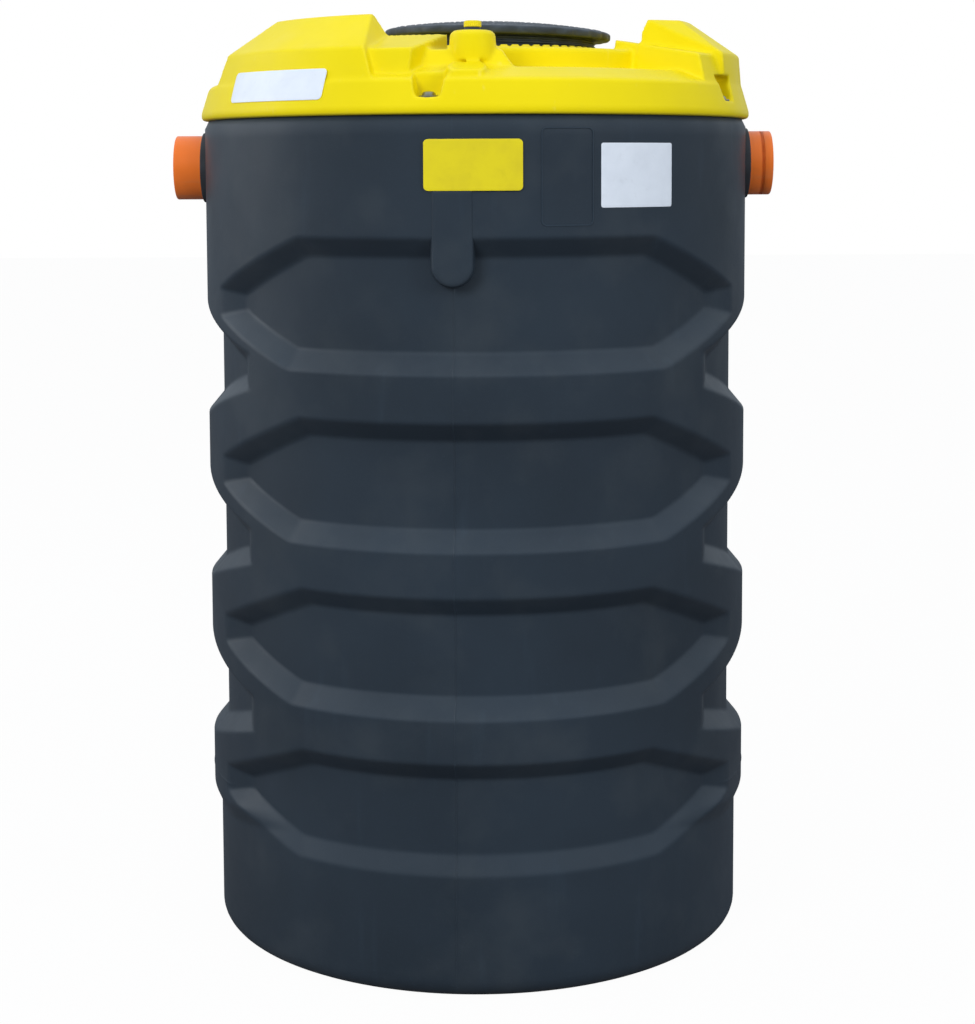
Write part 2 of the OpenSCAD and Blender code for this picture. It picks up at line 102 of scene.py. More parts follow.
SKIRT_Z = DECK_Z - 19    # top of the cover's sloping skirt
SKIRT_R = LIP_R - 14     # radius of the skirt at its top
RECESS = 30.0            # depth of the recessed panels
TOP_BEVEL = 34.5         # height of the slope into a panel from above
LOW_BEVEL = 36.0         # height of the slope into a panel from below
TIP_BEVEL = 62.0         # length of the slope into a panel from its tip
SOFT = 0.12              # share of a slope over which neighbouring slopes blend
FOOT_BAND = 240.0        # height of the plain foot
FOOT_BEVEL = 32          # height of the slope from the foot to the wall
FOOT_ROUND = 32.0        # radius between the wall and the base
SIDE_LINE_Z = 310        # height of the fine line round the sides
RIM_ROUND = 16           # height over which the wall's top draws in
SEAM = -4.4              # azimuth of the mould's parting line, degrees
RIB_X = TANK_R * math.sin(math.radians(SEAM))
BORE_R = 66              # hole in the wall behind a pipe
SCREWS = 5
SCREW_START = -9         # azimuth of the first screw, degrees
SCREW_STEP = 360 // SCREWS
POCKET_FLOOR = TANK_H + 30
VOXEL = 0.0036           # metres, grain of the cover's merging
COVER_FACES = 92000
LID_TILT = math.radians(1.3)
LID_Z = COLLAR_Z + 20
STUD_CELL = 10.5         # spacing of the lid's studs
STUD_SEED = 11


# ---- materials ----

def add_node(tree, kind, links=None, **values):
    """A node with its settings, and its inputs linked to sockets or set to values."""
    node = tree.nodes.new(kind)
    for key, value in values.items():
        setattr(node, key, value)
    for key, value in (links or {}).items():
        if isinstance(value, bpy.types.NodeSocket):
            tree.links.new(value, node.inputs[key])
        else:
            node.inputs[key].default_value = value
    return node


class Finish:
    """A procedural material: a Principled shader with helpers for its nodes."""

    def __init__(self, name):
        self.material = bpy.data.materials.new(name)
        self.material.use_nodes = True
        self.tree = self.material.node_tree
        self.shader = self.tree.nodes["Principled BSDF"]
        self.place = self.add("ShaderNodeTexCoord").outputs["Object"]

    def add(self, kind, links=None, **values):
        return add_node(self.tree, kind, links, **values)

    def noise(self, scale, detail, stretch=(1, 1, 1)):
        """Noise from 0 to 1, of a size and fineness, drawn out where stretch is below 1."""
        spot = self.add("ShaderNodeMapping", {"Vector": self.place, "Scale": stretch})
        return self.add(
            "ShaderNodeTexNoise",
            {"Vector": spot.outputs[0], "Scale": scale, "Detail": detail, "Roughness": 0.55},
        ).outputs["Fac"]

    def band(self, value, low, high, to_low=0.0, to_high=1.0):
        """Maps a range of a value, kept within its ends, onto another."""
        return self.add("ShaderNodeMapRange", {
            "Value": value, "From Min": low, "From Max": high, "To Min": to_low, "To Max": to_high,
        }).outputs[0]

    def mix(self, factor, a, b):
        """One colour laid over another, by a share from 0 to 1."""
        node = self.add("ShaderNodeMix", data_type="RGBA")
        for key, value in (("Factor", factor), ("A", a), ("B", b)):
            socket = [s for s in node.inputs if s.name == key and s.enabled][0]
            if isinstance(value, bpy.types.NodeSocket):
                self.tree.links.new(value, socket)
            elif key == "Factor":
                socket.default_value = value
            else:
                socket.default_value = (*value, 1)
        return [s for s in node.outputs if s.enabled][0]

    def times(self, a, b):
        return self.add("ShaderNodeMath", {0: a, 1: b}, operation="MULTIPLY").outputs[0]

    def plus(self, a, b):
        return self.add("ShaderNodeMath", {0: a, 1: b}, operation="ADD").outputs[0]

    def set(self, **values):
        """Sets or links the shader's sockets, named with _ for a space."""
        for key, value in values.items():
            socket = self.shader.inputs[key.replace("_", " ")]
            if isinstance(value, bpy.types.NodeSocket):
                self.tree.links.new(value, socket)
            else:
                socket.default_value = value

    def bump(self, height, strength, distance):
        self.set(Normal=self.add(
            "ShaderNodeBump",
            {"Height": height, "Strength": strength, "Distance": distance},
        ).outputs[0])

    def edges(self, low, high):
        """0 on flats and 1 on outer edges, from the curvature of the mesh."""
        return self.band(self.add("ShaderNodeNewGeometry").outputs["Pointiness"], low, high)


def shade(colour, factor):
    """A colour made lighter or darker."""
    return tuple(c * factor for c in colour)


def tank_finish():
    f = Finish("tank_plastic")
    base = (0.0175, 0.0275, 0.0400)
    cloud = f.band(f.noise(2.6, 4), 0.35, 0.65)
    colour = f.mix(cloud, shade(base, 0.88), shade(base, 1.14))
    specks = f.band(f.noise(420, 2), 0.60, 0.74)
    colour = f.mix(f.times(specks, 0.35), colour, shade(base, 1.9))
    scuffs = f.band(f.noise(26, 5, (1, 1, 0.12)), 0.62, 0.80)
    colour = f.mix(f.times(scuffs, 0.25), colour, shade(base, 2.1))
    dust = f.band(f.noise(7, 6), 0.50, 0.82)
    colour = f.mix(f.times(dust, 0.22), colour, (0.085, 0.098, 0.105))
    # Outer edges lighter: partly rubbed wear, partly a painted highlight along the rounded edges.
    colour = f.mix(f.times(f.edges(0.515, 0.60), 0.30), colour, shade(base, 2.4))
    f.set(Base_Color=colour, Roughness=f.band(f.noise(9, 5), 0.3, 0.7, 0.46, 0.58),
          Specular_IOR_Level=0.45)
    f.bump(f.plus(f.times(f.noise(160, 3), 0.5), f.noise(24, 2)), 0.16, 0.0012)
    return f.material


def cover_finish():
    f = Finish("cover_plastic")
    base = (0.88, 0.715, 0.002)
    cloud = f.band(f.noise(3.1, 4), 0.35, 0.65)
    colour = f.mix(cloud, shade(base, 0.96), shade(base, 1.03))
    stains = f.band(f.noise(14, 6), 0.60, 0.85)
    colour = f.mix(f.times(stains, 0.18), colour, (0.70, 0.55, 0.03))
    scuffs = f.band(f.noise(60, 5, (1, 1, 0.3)), 0.66, 0.82)
    colour = f.mix(f.times(scuffs, 0.25), colour, (0.93, 0.83, 0.30))
    # Outer edges lighter: a painted highlight along the rounded edges, with some rubbed wear.
    colour = f.mix(f.times(f.edges(0.52, 0.62), 0.25), colour, (0.95, 0.85, 0.25))
    f.set(Base_Color=colour, Roughness=f.band(f.noise(11, 5), 0.3, 0.7, 0.38, 0.52),
          Specular_IOR_Level=0.22)
    f.bump(f.plus(f.times(f.noise(190, 3), 0.4), f.noise(30, 2)), 0.14, 0.0010)
    return f.material


def lid_finish():
    f = Finish("lid_plastic")
    base = (0.029, 0.037, 0.048)
    cloud = f.band(f.noise(8, 5), 0.35, 0.65)
    colour = f.mix(cloud, shade(base, 0.75), shade(base, 1.30))
    dust = f.band(f.noise(36, 5), 0.50, 0.78)
    colour = f.mix(f.times(dust, 0.40), colour, (0.105, 0.132, 0.162))
    f.set(Base_Color=colour, Roughness=f.band(f.noise(18, 4), 0.3, 0.7, 0.42, 0.60))
    f.bump(f.noise(230, 3), 0.2, 0.0008)
    return f.material


def pipe_finish():
    f = Finish("pipe_pvc")
    base = (0.98, 0.210, 0.026)
    cloud = f.band(f.noise(6, 4), 0.35, 0.65)
    colour = f.mix(cloud, shade(base, 0.93), shade(base, 1.05))
    scuffs = f.band(f.noise(40, 5, (0.2, 1, 1)), 0.60, 0.80)
    colour = f.mix(f.times(scuffs, 0.35), colour, (0.74, 0.27, 0.12))
    dirt = f.band(f.noise(18, 6), 0.62, 0.85)
    colour = f.mix(f.times(dirt, 0.3), colour, (0.30, 0.10, 0.04))
    f.set(Base_Color=colour, Roughness=f.band(f.noise(14, 4), 0.3, 0.7, 0.30, 0.44),
          Specular_IOR_Level=0.35)
    f.bump(f.noise(90, 3, (0.15, 1, 1)), 0.12, 0.0006)
    return f.material


def seal_finish():
    f = Finish("seal_rubber")
    base = (0.020, 0.023, 0.027)
    colour = f.mix(f.band(f.noise(30, 5), 0.4, 0.7), base, shade(base, 2.0))
    f.set(Base_Color=colour, Roughness=f.band(f.noise(60, 3), 0.3, 0.7, 0.55, 0.75))
    f.bump(f.noise(260, 3), 0.25, 0.0006)
    return f.material


def screw_finish():
    f = Finish("screw_zinc")
    colour = f.mix(f.band(f.noise(60, 5), 0.35, 0.7), (0.42, 0.41, 0.33), (0.24, 0.22, 0.15))
    f.set(Base_Color=colour, Metallic=1.0, Roughness=f.band(f.noise(90, 4), 0.3, 0.7, 0.30, 0.50))
    f.bump(f.noise(300, 3), 0.15, 0.0004)
    return f.material


def vinyl_finish(name, colour, mottled):
    f = Finish(name)
    mixed = f.mix(f.band(f.noise(22, 5), 0.35, 0.7), colour, mottled)
    dirt = f.band(f.noise(55, 6), 0.60, 0.85)
    mixed = f.mix(f.times(dirt, 0.22), mixed, shade(mottled, 0.6))
    f.set(Base_Color=mixed, Roughness=f.band(f.noise(40, 3), 0.3, 0.7, 0.30, 0.42))
    f.bump(f.noise(45, 3), 0.10, 0.0006)
    return f.material


FINISHES = {
    "tank": tank_finish(),
    "cover": cover_finish(),
    "lid": lid_finish(),
    "pipe": pipe_finish(),
    "seal": seal_finish(),
}
SCREW = screw_finish()
LABEL_WHITE = vinyl_finish("label_white", (0.80, 0.86, 0.95), (0.74, 0.80, 0.89))
LABEL_YELLOW = vinyl_finish("label_yellow", (0.82, 0.69, 0.012), (0.75, 0.62, 0.015))
LABEL_AMBER = vinyl_finish("label_amber", (0.94, 0.46, 0.03), (0.86, 0.42, 0.03))


# ---- mesh helpers ----

def build(name, points, faces, angle=35):
    """A new object from points in millimetres, with outward normals and smooth shading."""
    mesh = bpy.data.meshes.new(name)
    mesh.from_pydata((np.asarray(points, float) * MM).tolist(), [], faces)
    bm = bmesh.new()
    bm.from_mesh(mesh)
    bmesh.ops.remove_doubles(bm, verts=bm.verts, dist=1e-6)
    bmesh.ops.dissolve_degenerate(bm, edges=bm.edges, dist=1e-7)
    bmesh.ops.recalc_face_normals(bm, faces=bm.faces)
    bm.to_mesh(mesh)
    bm.free()
    obj = bpy.data.objects.new(name, mesh)
    scene.collection.objects.link(obj)
    smooth(obj, angle)
    return obj


def smooth(obj, angle=35):
    obj.data.shade_smooth()
    obj.data.set_sharp_from_angle(angle=math.radians(angle))


def applied(obj, angle=35):
    """Puts the result of an object's modifiers into its mesh."""
    graph = bpy.context.evaluated_depsgraph_get()
    mesh = bpy.data.meshes.new_from_object(obj.evaluated_get(graph))
    obj.modifiers.clear()
    obj.data = mesh
    smooth(obj, angle)
    return obj


def cut(obj, cutters, angle=35):
    """Takes closed cutters out of a closed object."""
    for cutter in cutters:
        mod = obj.modifiers.new("cut", "BOOLEAN")
        mod.operation = "DIFFERENCE"
        mod.solver = "MANIFOLD"
        mod.object = cutter
    applied(obj, angle)
    for cutter in cutters:
        bpy.data.objects.remove(cutter)
    return obj


def rings(rows, columns, close_rows=False):
    """Faces between closed rings of points, row by row; closing the rows makes a torus."""
    faces = []
    for i in range(rows if close_rows else rows - 1):
        a = i * columns
        b = ((i + 1) % rows) * columns
        for j in range(columns):
            k = (j + 1) % columns
            faces.append((a + j, a + k, b + k, b + j))
    return faces


def capped(rows, columns):
    """Faces between closed rings of points, with a face over the first and the last."""
    last = (rows - 1) * columns
    return rings(rows, columns) + [tuple(range(columns)), tuple(range(last, last + columns))]


def ring_points(section, azimuths):
    """Points of a section of (radius, height) at each azimuth from the front, towards +X."""
    return [
        (r * math.sin(math.radians(a)), -r * math.cos(math.radians(a)), z)
        for a in azimuths
        for r, z in section
    ]


def revolved(name, section, steps, angle=35):
    """A closed ring or solid of revolution from a closed section of (radius, height)."""
    azimuths = [360 * i / steps for i in range(steps)]
    n = len(section)
    return build(name, ring_points(section, azimuths), rings(steps, n, True), angle)


def sector(name, section, left, right, steps):
    """A part of a ring whose ends lie at azimuths given by functions of radius and height."""
    n = len(section)
    points = []
    for i in range(steps + 1):
        for r, z in section:
            a = left(r, z) + (right(r, z) - left(r, z)) * i / steps
            points.extend(ring_points([(r, z)], [a]))
    return build(name, points, capped(steps + 1, n))


def prism(name, outline, low, high):
    """An upright block on an outline, between two heights given by functions of x and y."""
    points = [(x, y, low(x, y)) for x, y in outline] + [(x, y, high(x, y)) for x, y in outline]
    return build(name, points, capped(2, len(outline)))


def joined(name, parts):
    """One object from several."""
    bm = bmesh.new()
    for part in parts:
        part.data.transform(part.matrix_world)
        bm.from_mesh(part.data)
        bpy.data.objects.remove(part)
    mesh = bpy.data.meshes.new(name)
    bm.to_mesh(mesh)
    bm.free()
    obj = bpy.data.objects.new(name, mesh)
    scene.collection.objects.link(obj)
    return obj


def moved(obj, matrix):
    """Moves the points of a mesh, so that its object stays at the origin."""
    obj.data.transform(matrix)
    return obj


def along_x(obj, side, height):
    """Turns an upright piece to point to +X (side 1) or -X (side -1), at a height."""
    turn = Matrix.Rotation(math.radians(90 * side), 4, "Y")
    return moved(obj, Matrix.Translation((0, 0, height * MM)) @ turn)


def dressed(obj, slot, nodes=(), material=None):
    """Gives a piece the material of its slot and its body, and hides the CAD nodes it stands for."""
    obj.data.materials.clear()
    obj.data.materials.append(material or FINISHES[slot])
    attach(obj, "root")
    if nodes:
        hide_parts(*nodes)
    return obj


def rounded(section, radius):
    """A closed section with its corners rounded, where the edges are long enough."""
    steps = 4
    out = []
    n = len(section)
    for i in range(n):
        p = Vector(section[i - 1])
        q = Vector(section[i])
        s = Vector(section[(i + 1) % n])
        a, b = p - q, s - q
        if a.length < 1e-6 or b.length < 1e-6 or q.x < 1e-6:
            out.append(tuple(q))
            continue
        turn = a.angle(b)
        if turn > math.radians(172):
            out.append(tuple(q))
            continue
        reach = min(radius / math.tan(turn / 2), a.length * 0.45, b.length * 0.45)
        start, end = q + a.normalized() * reach, q + b.normalized() * reach
        for k in range(steps + 1):
            t = k / steps
            out.append(tuple(start * (1 - t) ** 2 + q * 2 * t * (1 - t) + end * t * t))
    return out


# ---- tank shell ----

def soft_ramp(t, w):
    """0 below -w and 1 above 1 + w, straight between, with rounded corners of half width w."""
    t = np.clip(t, -w, 1 + w)
    low = (t + w) ** 2 / (4 * w)
    high = 1 - (1 + w - t) ** 2 / (4 * w)
    return np.where(t < w, low, np.where(t > 1 - w, high, t))


def soft_min(a, b, k):
    """The lower of two values, blended over a width k."""
    h = np.clip(0.5 + 0.5 * (b - a) / k, 0, 1)
    return b * (1 - h) + a * h - k * h * (1 - h)


def line(d, d0, d1, z0, z1):
    """Straight from z0 at d0 to z1 at d1, and level beyond."""
    return z0 + (z1 - z0) * np.clip((d - d0) / (d1 - d0), 0, 1)


def panel_depth(d, z, top, bottom, corner, tip, tip_half):
    """How deep one recessed panel is, 0 to 1, at a distance in degrees from its middle."""
    tip_z = (top + bottom) / 2 - 8
    upper = line(d, corner, tip, top, tip_z + tip_half) - z
    lower = z - line(d, corner + 3, tip, bottom, tip_z - tip_half)
    side = (tip - d) * math.radians(TANK_R)
    inside = soft_min(soft_min(upper / TOP_BEVEL, lower / LOW_BEVEL, SOFT), side / TIP_BEVEL, SOFT)
    return soft_ramp(inside, 0.09)


# Top of the highest panel, step down to the next, how much less each later step is, height of the
# highest panel and how much less each next one is, all in mm; degrees from a panel's middle to its
# corner and its tip, and half of the tip's height.
FRONT_PANELS = {"count": 4, "top": 1364, "pitch": 323, "ease": 13, "tall": 238, "less": 10,
                "ends": (37, 65, 26)}
SIDE_PANELS = {"count": 3, "top": 1233, "pitch": 328, "ease": 9, "tall": 220, "less": 5.5,
               "ends": (7, 38, 33)}


def panels_depth(d, z, panels):
    """How deep a column of recessed panels is, 0 to 1."""
    depth = np.zeros_like(z)
    for i in range(panels["count"]):
        top = panels["top"] - panels["pitch"] * i + panels["ease"] * i * (i - 1) / 2
        bottom = top - panels["tall"] + panels["less"] * i
        depth = np.maximum(depth, panel_depth(d, z, top, bottom, *panels["ends"]))
    return depth


def shell_radius(azimuth, z):
    """Outer radius of the tank at an azimuth in degrees and a height."""
    d = np.abs(azimuth - 180 * np.round(azimuth / 180))
    depth = np.maximum(panels_depth(d, z, FRONT_PANELS), panels_depth(90 - d, z, SIDE_PANELS))
    foot_top = line(d, 40, 65, FOOT_BAND + 30 + FOOT_BEVEL, FOOT_BAND + FOOT_BEVEL)
    foot = (TANK_R - FOOT_R) * soft_ramp((foot_top - z) / FOOT_BEVEL, 0.2)
    radius = TANK_R - foot - (RECESS - foot) * depth
    low = np.clip(FOOT_ROUND - z, 0, FOOT_ROUND)
    radius = radius - FOOT_ROUND + np.sqrt(FOOT_ROUND ** 2 - low ** 2)
    radius = radius - np.clip(z - (TANK_H - RIM_ROUND), 0, RIM_ROUND) / 2
    side_line = np.exp(-((z - SIDE_LINE_Z) / 1.6) ** 2) * 0.9 * np.clip((d - 62) / 4, 0, 1)
    return radius + side_line


def shell_half(name, start, nodes):
    """Half of the tank from one parting line to the other, with a fine ridge along each."""
    seam = [0, 0.10, 0.22, 0.45, 0.8]
    azimuths = np.array(
        seam + list(np.linspace(1.5, 178.5, 230)) + [180 - s for s in reversed(seam)])
    # Rows of points stand closer where the wall bends, and close along the fine line.
    heights = np.concatenate([
        FOOT_ROUND - FOOT_ROUND * np.cos(np.radians(np.linspace(0, 90, 9))),
        np.linspace(44, 212, 8), np.linspace(216, 306, 28),
        [SIDE_LINE_Z - 1.6, SIDE_LINE_Z, SIDE_LINE_Z + 1.6],
        np.linspace(314, 1372, 316), np.linspace(1385, TANK_H - RIM_ROUND, 10),
        [TANK_H - RIM_ROUND / 2, TANK_H],
    ])
    a, z = np.meshgrid(azimuths + start, heights, indexing="ij")
    radius = shell_radius(a, z)
    off = np.minimum(a - start, start + 180 - a)
    ridge = np.exp(-(off / 0.15) ** 2) * 1.7 * np.clip((z - 30) / 20, 0, 1)
    below_rib = np.clip((RIB_LOW + 10 - z) / 10, 0, 1)
    ridge *= np.where(np.cos(np.radians(a - SEAM)) > 0.9, below_rib, 1)
    radius = np.minimum(radius + ridge, TANK_R + 1.5)
    n = len(azimuths)
    inner = np.array([(0.0, 0.0), (0.0, 8.0), (470.0, 8.0), (486.0, 24.0), (486.0, TANK_H)])
    section_r = np.concatenate([radius[:, ::-1], np.tile(inner[:, 0], (n, 1))], axis=1)
    section_z = np.concatenate([z[:, ::-1], np.tile(inner[:, 1], (n, 1))], axis=1)
    turn = np.radians(np.tile((azimuths + start)[:, None], (1, section_r.shape[1])))
    points = np.stack([section_r * np.sin(turn), -section_r * np.cos(turn), section_z], axis=-1)
    k = section_r.shape[1]
    obj = build(name, points.reshape(-1, 3), capped(n, k), 50)
    side = 1 if abs(start) < 90 else -1
    bore = revolved("bore", [(0, 430), (BORE_R, 430), (BORE_R, 600), (0, 600)], 72)
    along_x(bore, side, middle("inlet_pipe" if side > 0 else "outlet_pipe", 2))
    cut(obj, [bore], 50)
    return dressed(obj, "tank", nodes)


shell_half("tank_shell_right", SEAM, ["wall_front", "wall_right", "tank_base", "tank_rim"])
shell_half("tank_shell_left", SEAM + 180, ["wall_back", "wall_left"])


def on_wall(x, z, radius):
    """The point of the front wall straight behind x at a height."""
    return (x, -math.sqrt(max(radius * radius - x * x, 0)), z)


def tongue(name):
    """The upright rib across the highest front panel: nested outlines from its root to its face."""
    levels = [(5.0, TANK_R - RECESS - 6), (2.2, TANK_R - 7), (1.2, TANK_R - 1.6),
              (-0.4, TANK_R + 0.9), (-3.0, TANK_R + 2.3), (-7.0, TANK_R + 2.9),
              (-12.0, TANK_R + 3.0)]
    low = RIB_LOW + RIB_HALF
    points = []
    for grow, radius in levels:
        half = RIB_HALF + grow
        outline = []
        for degrees in range(0, 181, 6):
            t = math.radians(degrees)
            outline.append((RIB_X - half * math.cos(t), low - half * math.sin(t)))
        rise = np.linspace(low, RIB_TOP - 20 + grow, 24)[1:]
        outline += [(RIB_X + half, z) for z in rise]
        outline += [(RIB_X + half - 2 * half * k / 12, rise[-1]) for k in range(1, 12)]
        outline += [(RIB_X - half, z) for z in rise[::-1]]
        points += [on_wall(x, z, radius) for x, z in outline]
    faces = capped(len(levels), len(outline))
    return dressed(build(name, points, faces, 40), "tank", ["front_rib"])


tongue("front_tongue")


# ---- cover ----

def leaning(az, lean, sign):
    """Azimuth of a hump's end that leans by some degrees above the skirt's top."""
    slope = math.tan(math.radians(lean))
    return lambda r, z: az + sign * math.degrees(math.asin((z - SKIRT_Z) * slope / r))


def screw_turn(index):
    """Turns a piece made at the front to the azimuth of a screw."""
    return Matrix.Rotation(math.radians(SCREW_START + SCREW_STEP * index), 4, "Z")


def pocket_cutters():
    """One cutter for each screw pocket, open outwards and wider upwards."""
    cutters = []
    high, back, outside = SKIRT_Z + 12, LIP_R - 44, 700
    outline = [(-21, POCKET_FLOOR), (21, POCKET_FLOOR), (31, high), (-31, high)]
    for i in range(SCREWS):
        points = [(x, -y, z) for y in (back, outside) for x, z in outline]
        cutter = build("pocket", points, capped(2, len(outline)))
        cutters.append(moved(cutter, screw_turn(i)))
    return cutters


def right_end(r, z):
    """Azimuth of the front end of the right hump, which leans back above the block before it."""
    top = min(67.2, max(58.0, 58.9 + (r - 383) * 0.16))
    foot = 54 + 9 * min(1, max(0, (r - 405) / 80))
    return foot + (top - foot) * min(1, max(0, (z - HUMP_TOP + 52) / 52))


def at_vent(obj):
    """Puts a piece made round the origin under the vent."""
    return moved(obj, Matrix.Translation((VENT_X * MM, VENT_Y * MM, 0)))


def low_boss():
    """The low boss on the shoulder: a round with two flats and a top that slopes up inwards."""
    x0, y0, radius, flat = -14, -490, 35, 23
    outline = []
    for k in range(64):
        t = math.tau * k / 64
        outline.append((x0 + radius * math.cos(t),
                        y0 + max(-flat, min(flat, radius * math.sin(t)))))
    slope = 19 / 52
    return prism("low_boss", outline, lambda x, y: SKIRT_Z - 15,
                 lambda x, y: SKIRT_Z + 10 + (y + 516) * slope)


def cover_shell():
    """The cover's skirt, deck, humps, steps, turret and bosses merged into one moulding."""
    under = TANK_H + 26
    body = revolved("skirt", rounded([
        (0, TANK_H), (LIP_R - 3, TANK_H), (LIP_R, TANK_H + 5), (LIP_R, TANK_H + 13),
        (SKIRT_R, SKIRT_Z - 5), (SKIRT_R - 7, SKIRT_Z), (464, DECK_Z), (0, DECK_Z)], 2.5), 288)
    cut(body, pocket_cutters())
    # Sections of the humps and steps, from the inner foot over the top to the outer foot.
    narrow = [(440, under), (372, DECK_Z - 10), (372, HUMP_TOP - 33), (402, HUMP_TOP),
              (414, HUMP_TOP), (502, SKIRT_Z + 54), (SKIRT_R - 2, SKIRT_Z - 8), (LIP_R - 8, under)]
    wide = [(440, under), (372, DECK_Z - 10), (372, HUMP_TOP - 26), (378, HUMP_TOP),
            (424, HUMP_TOP), (516, SKIRT_Z + 54), (SKIRT_R - 1, SKIRT_Z - 8), (LIP_R - 8, under)]
    step = [(440, under), (372, DECK_Z - 10), (372, SKIRT_Z + 82), (487, SKIRT_Z + 52),
            (498, SKIRT_Z + 4), (498, under)]
    reach = [(440, under), (315, DECK_Z - 10), (315, SKIRT_Z + 82), (500, SKIRT_Z + 51),
             (SKIRT_R - 2, SKIRT_Z - 8), (LIP_R - 8, under)]
    platform = [(290, DECK_Z - 12), (290, PLATFORM_Z), (443, PLATFORM_Z), (467, DECK_Z - 12)]
    turret = [(0, DECK_Z - 20), (TURRET_R, DECK_Z - 20), (TURRET_R, TURRET_Z - 6),
              (TURRET_R - 6, TURRET_Z), (0, TURRET_Z)]
    vent_boss = [(0, PLATFORM_Z - 20), (VENT_BOSS_R, PLATFORM_Z - 20),
                 (VENT_BOSS_R, PLATFORM_Z + 2), (VENT_BOSS_R - 2, VENT_BOSS_Z - 7),
                 (VENT_BOSS_R - 9, VENT_BOSS_Z), (0, VENT_BOSS_Z)]
    humps_and_steps = [
        sector("hump_left", narrow, leaning(-70, 20, 1), leaning(-20.5, 20, -1), 60),
        sector("hump_right", wide, right_end, leaning(112, 20, -1), 60),
        sector("hump_back", narrow, leaning(166, 20, 1), leaning(214, 20, -1), 60),
        sector("step_left", step, lambda r, z: -40, lambda r, z: -14 + (507 - r) * 0.049, 36),
        sector("step_right", reach, leaning(54, 10, 1), lambda r, z: 75, 30),
    ]
    for part in humps_and_steps:
        cut(part, pocket_cutters())
    parts = [body] + humps_and_steps + [
        sector("platform", platform, lambda r, z: -22, leaning(10, 30, -1), 36),
        moved(revolved("turret", turret, 240), Matrix.Translation((MANHOLE_X * MM, 0, 0))),
        at_vent(revolved("boss", vent_boss, 96)),
        low_boss(),
    ]
    cover = joined("cover_shell", parts)
    mod = cover.modifiers.new("merge", "REMESH")
    mod.mode = "VOXEL"
    mod.voxel_size = VOXEL
    mod.use_smooth_shade = True
    relax = cover.modifiers.new("relax", "SMOOTH")
    relax.factor = 0.5
    relax.iterations = 4
    applied(cover, 60)
    thin = cover.modifiers.new("thin", "DECIMATE")
    thin.ratio = min(1.0, COVER_FACES / len(cover.data.polygons))
    applied(cover, 60)
    return dressed(cover, "cover", [
        "cover_skirt", "cover_deck", "hump_left", "hump_right", "hump_back", "step_left",
        "step_right", "manhole_turret", "vent_platform", "vent_boss", "shoulder_boss"])


cover_shell()


# ---- lid, collar and neck ----

def on_thread(obj):
    """Puts a piece made round the origin on the turret, tilted as the lid is."""
    place = Matrix.Translation((MANHOLE_X * MM, 0, TURRET_Z * MM))
    return moved(obj, place @ Matrix.Rotation(LID_TILT, 4, "Y"))


def studs(x, y):
    """Height 0 to 1 of a pattern of small round studs, one near the middle of each cell."""
    rng = np.random.default_rng(STUD_SEED)
    n = int(2 * LID_R / STUD_CELL) + 6
    jitter = rng.uniform(-0.26, 0.26, (n, n, 2))
    size = rng.uniform(0.36, 0.50, (n, n))
    u, v = x / STUD_CELL + n / 2, y / STUD_CELL + n / 2
    i, j = np.floor(u).astype(int), np.floor(v).astype(int)
    height = np.zeros_like(x)
    for di in (-1, 0, 1):
        for dj in (-1, 0, 1):
            a, b = np.clip(i + di, 0, n - 1), np.clip(j + dj, 0, n - 1)
            away = np.hypot(u - (i + di + 0.5 + jitter[a, b, 0]),
                            v - (j + dj + 0.5 + jitter[a, b, 1]))
            height = np.maximum(height, soft_ramp((size[a, b] - away) / 0.22, 0.4))
    return height


def manhole_lid():
    """The domed lid, with studs on its crown and shallow finger flutes round its edge."""
    columns, crown_rows = 480, 88
    rim, rise, edge = 14.0, 18.0, 4.0
    turn = np.radians(np.arange(columns) * 360 / columns)
    flute = 2.6 * np.abs(np.cos(15 * turn)) ** 3
    rows = []
    for r in np.linspace(2.0, LID_R - 5, crown_rows):
        x, y = r * np.cos(turn), r * np.sin(turn)
        fade = np.clip((LID_R - 9 - r) / 5, 0, 1) * np.clip((r - 24) / 4, 0, 1)
        z = rim + rise * (1 - (r / LID_R) ** 2) + 1.7 * fade * studs(x, y)
        z = z + 1.2 * np.exp(-((r - 22) / 2.0) ** 2)
        rows.append(np.stack([x, y, z], axis=-1))
    side = [(LID_R - 2.2, rim - 0.6, 0.3), (LID_R - 0.4, rim - 2.6, 0.8),
            (LID_R, rim - edge - 1, 1.0), (LID_R, edge, 1.0), (LID_R - 1.2, 1.2, 1.0),
            (LID_R - edge, 0.0, 1.0), (150.0, 0.0, 0.0)]
    for r, z, share in side:
        q = r - share * (flute + 0.3)
        rows.append(np.stack([q * np.cos(turn), q * np.sin(turn), np.full(columns, z)], axis=-1))
    obj = build("lid_domed", np.concatenate(rows), capped(len(rows), columns), 60)
    moved(obj, Matrix.Translation((0, 0, (LID_Z - TURRET_Z) * MM)))
    return dressed(on_thread(obj), "lid", ["manhole_lid"])


manhole_lid()


def manhole_neck():
    """The lid's threaded neck."""
    outer = box("manhole_neck")[1].y
    top = LID_Z - TURRET_Z
    section = [(outer - 5, -38), (outer - 0.3, -38), (outer - 0.3, COLLAR_Z - TURRET_Z + 1)]
    for low in (COLLAR_Z - TURRET_Z + 4, COLLAR_Z - TURRET_Z + 12):
        section += [(outer - 3.0, low), (outer - 0.3, low + 2),
                    (outer - 0.3, low + 4), (outer - 3.0, low + 6)]
    section += [(outer - 3, top), (outer - 5, top)]
    return dressed(on_thread(revolved("lid_neck", section, 192, 30)), "lid", ["manhole_neck"])


manhole_neck()


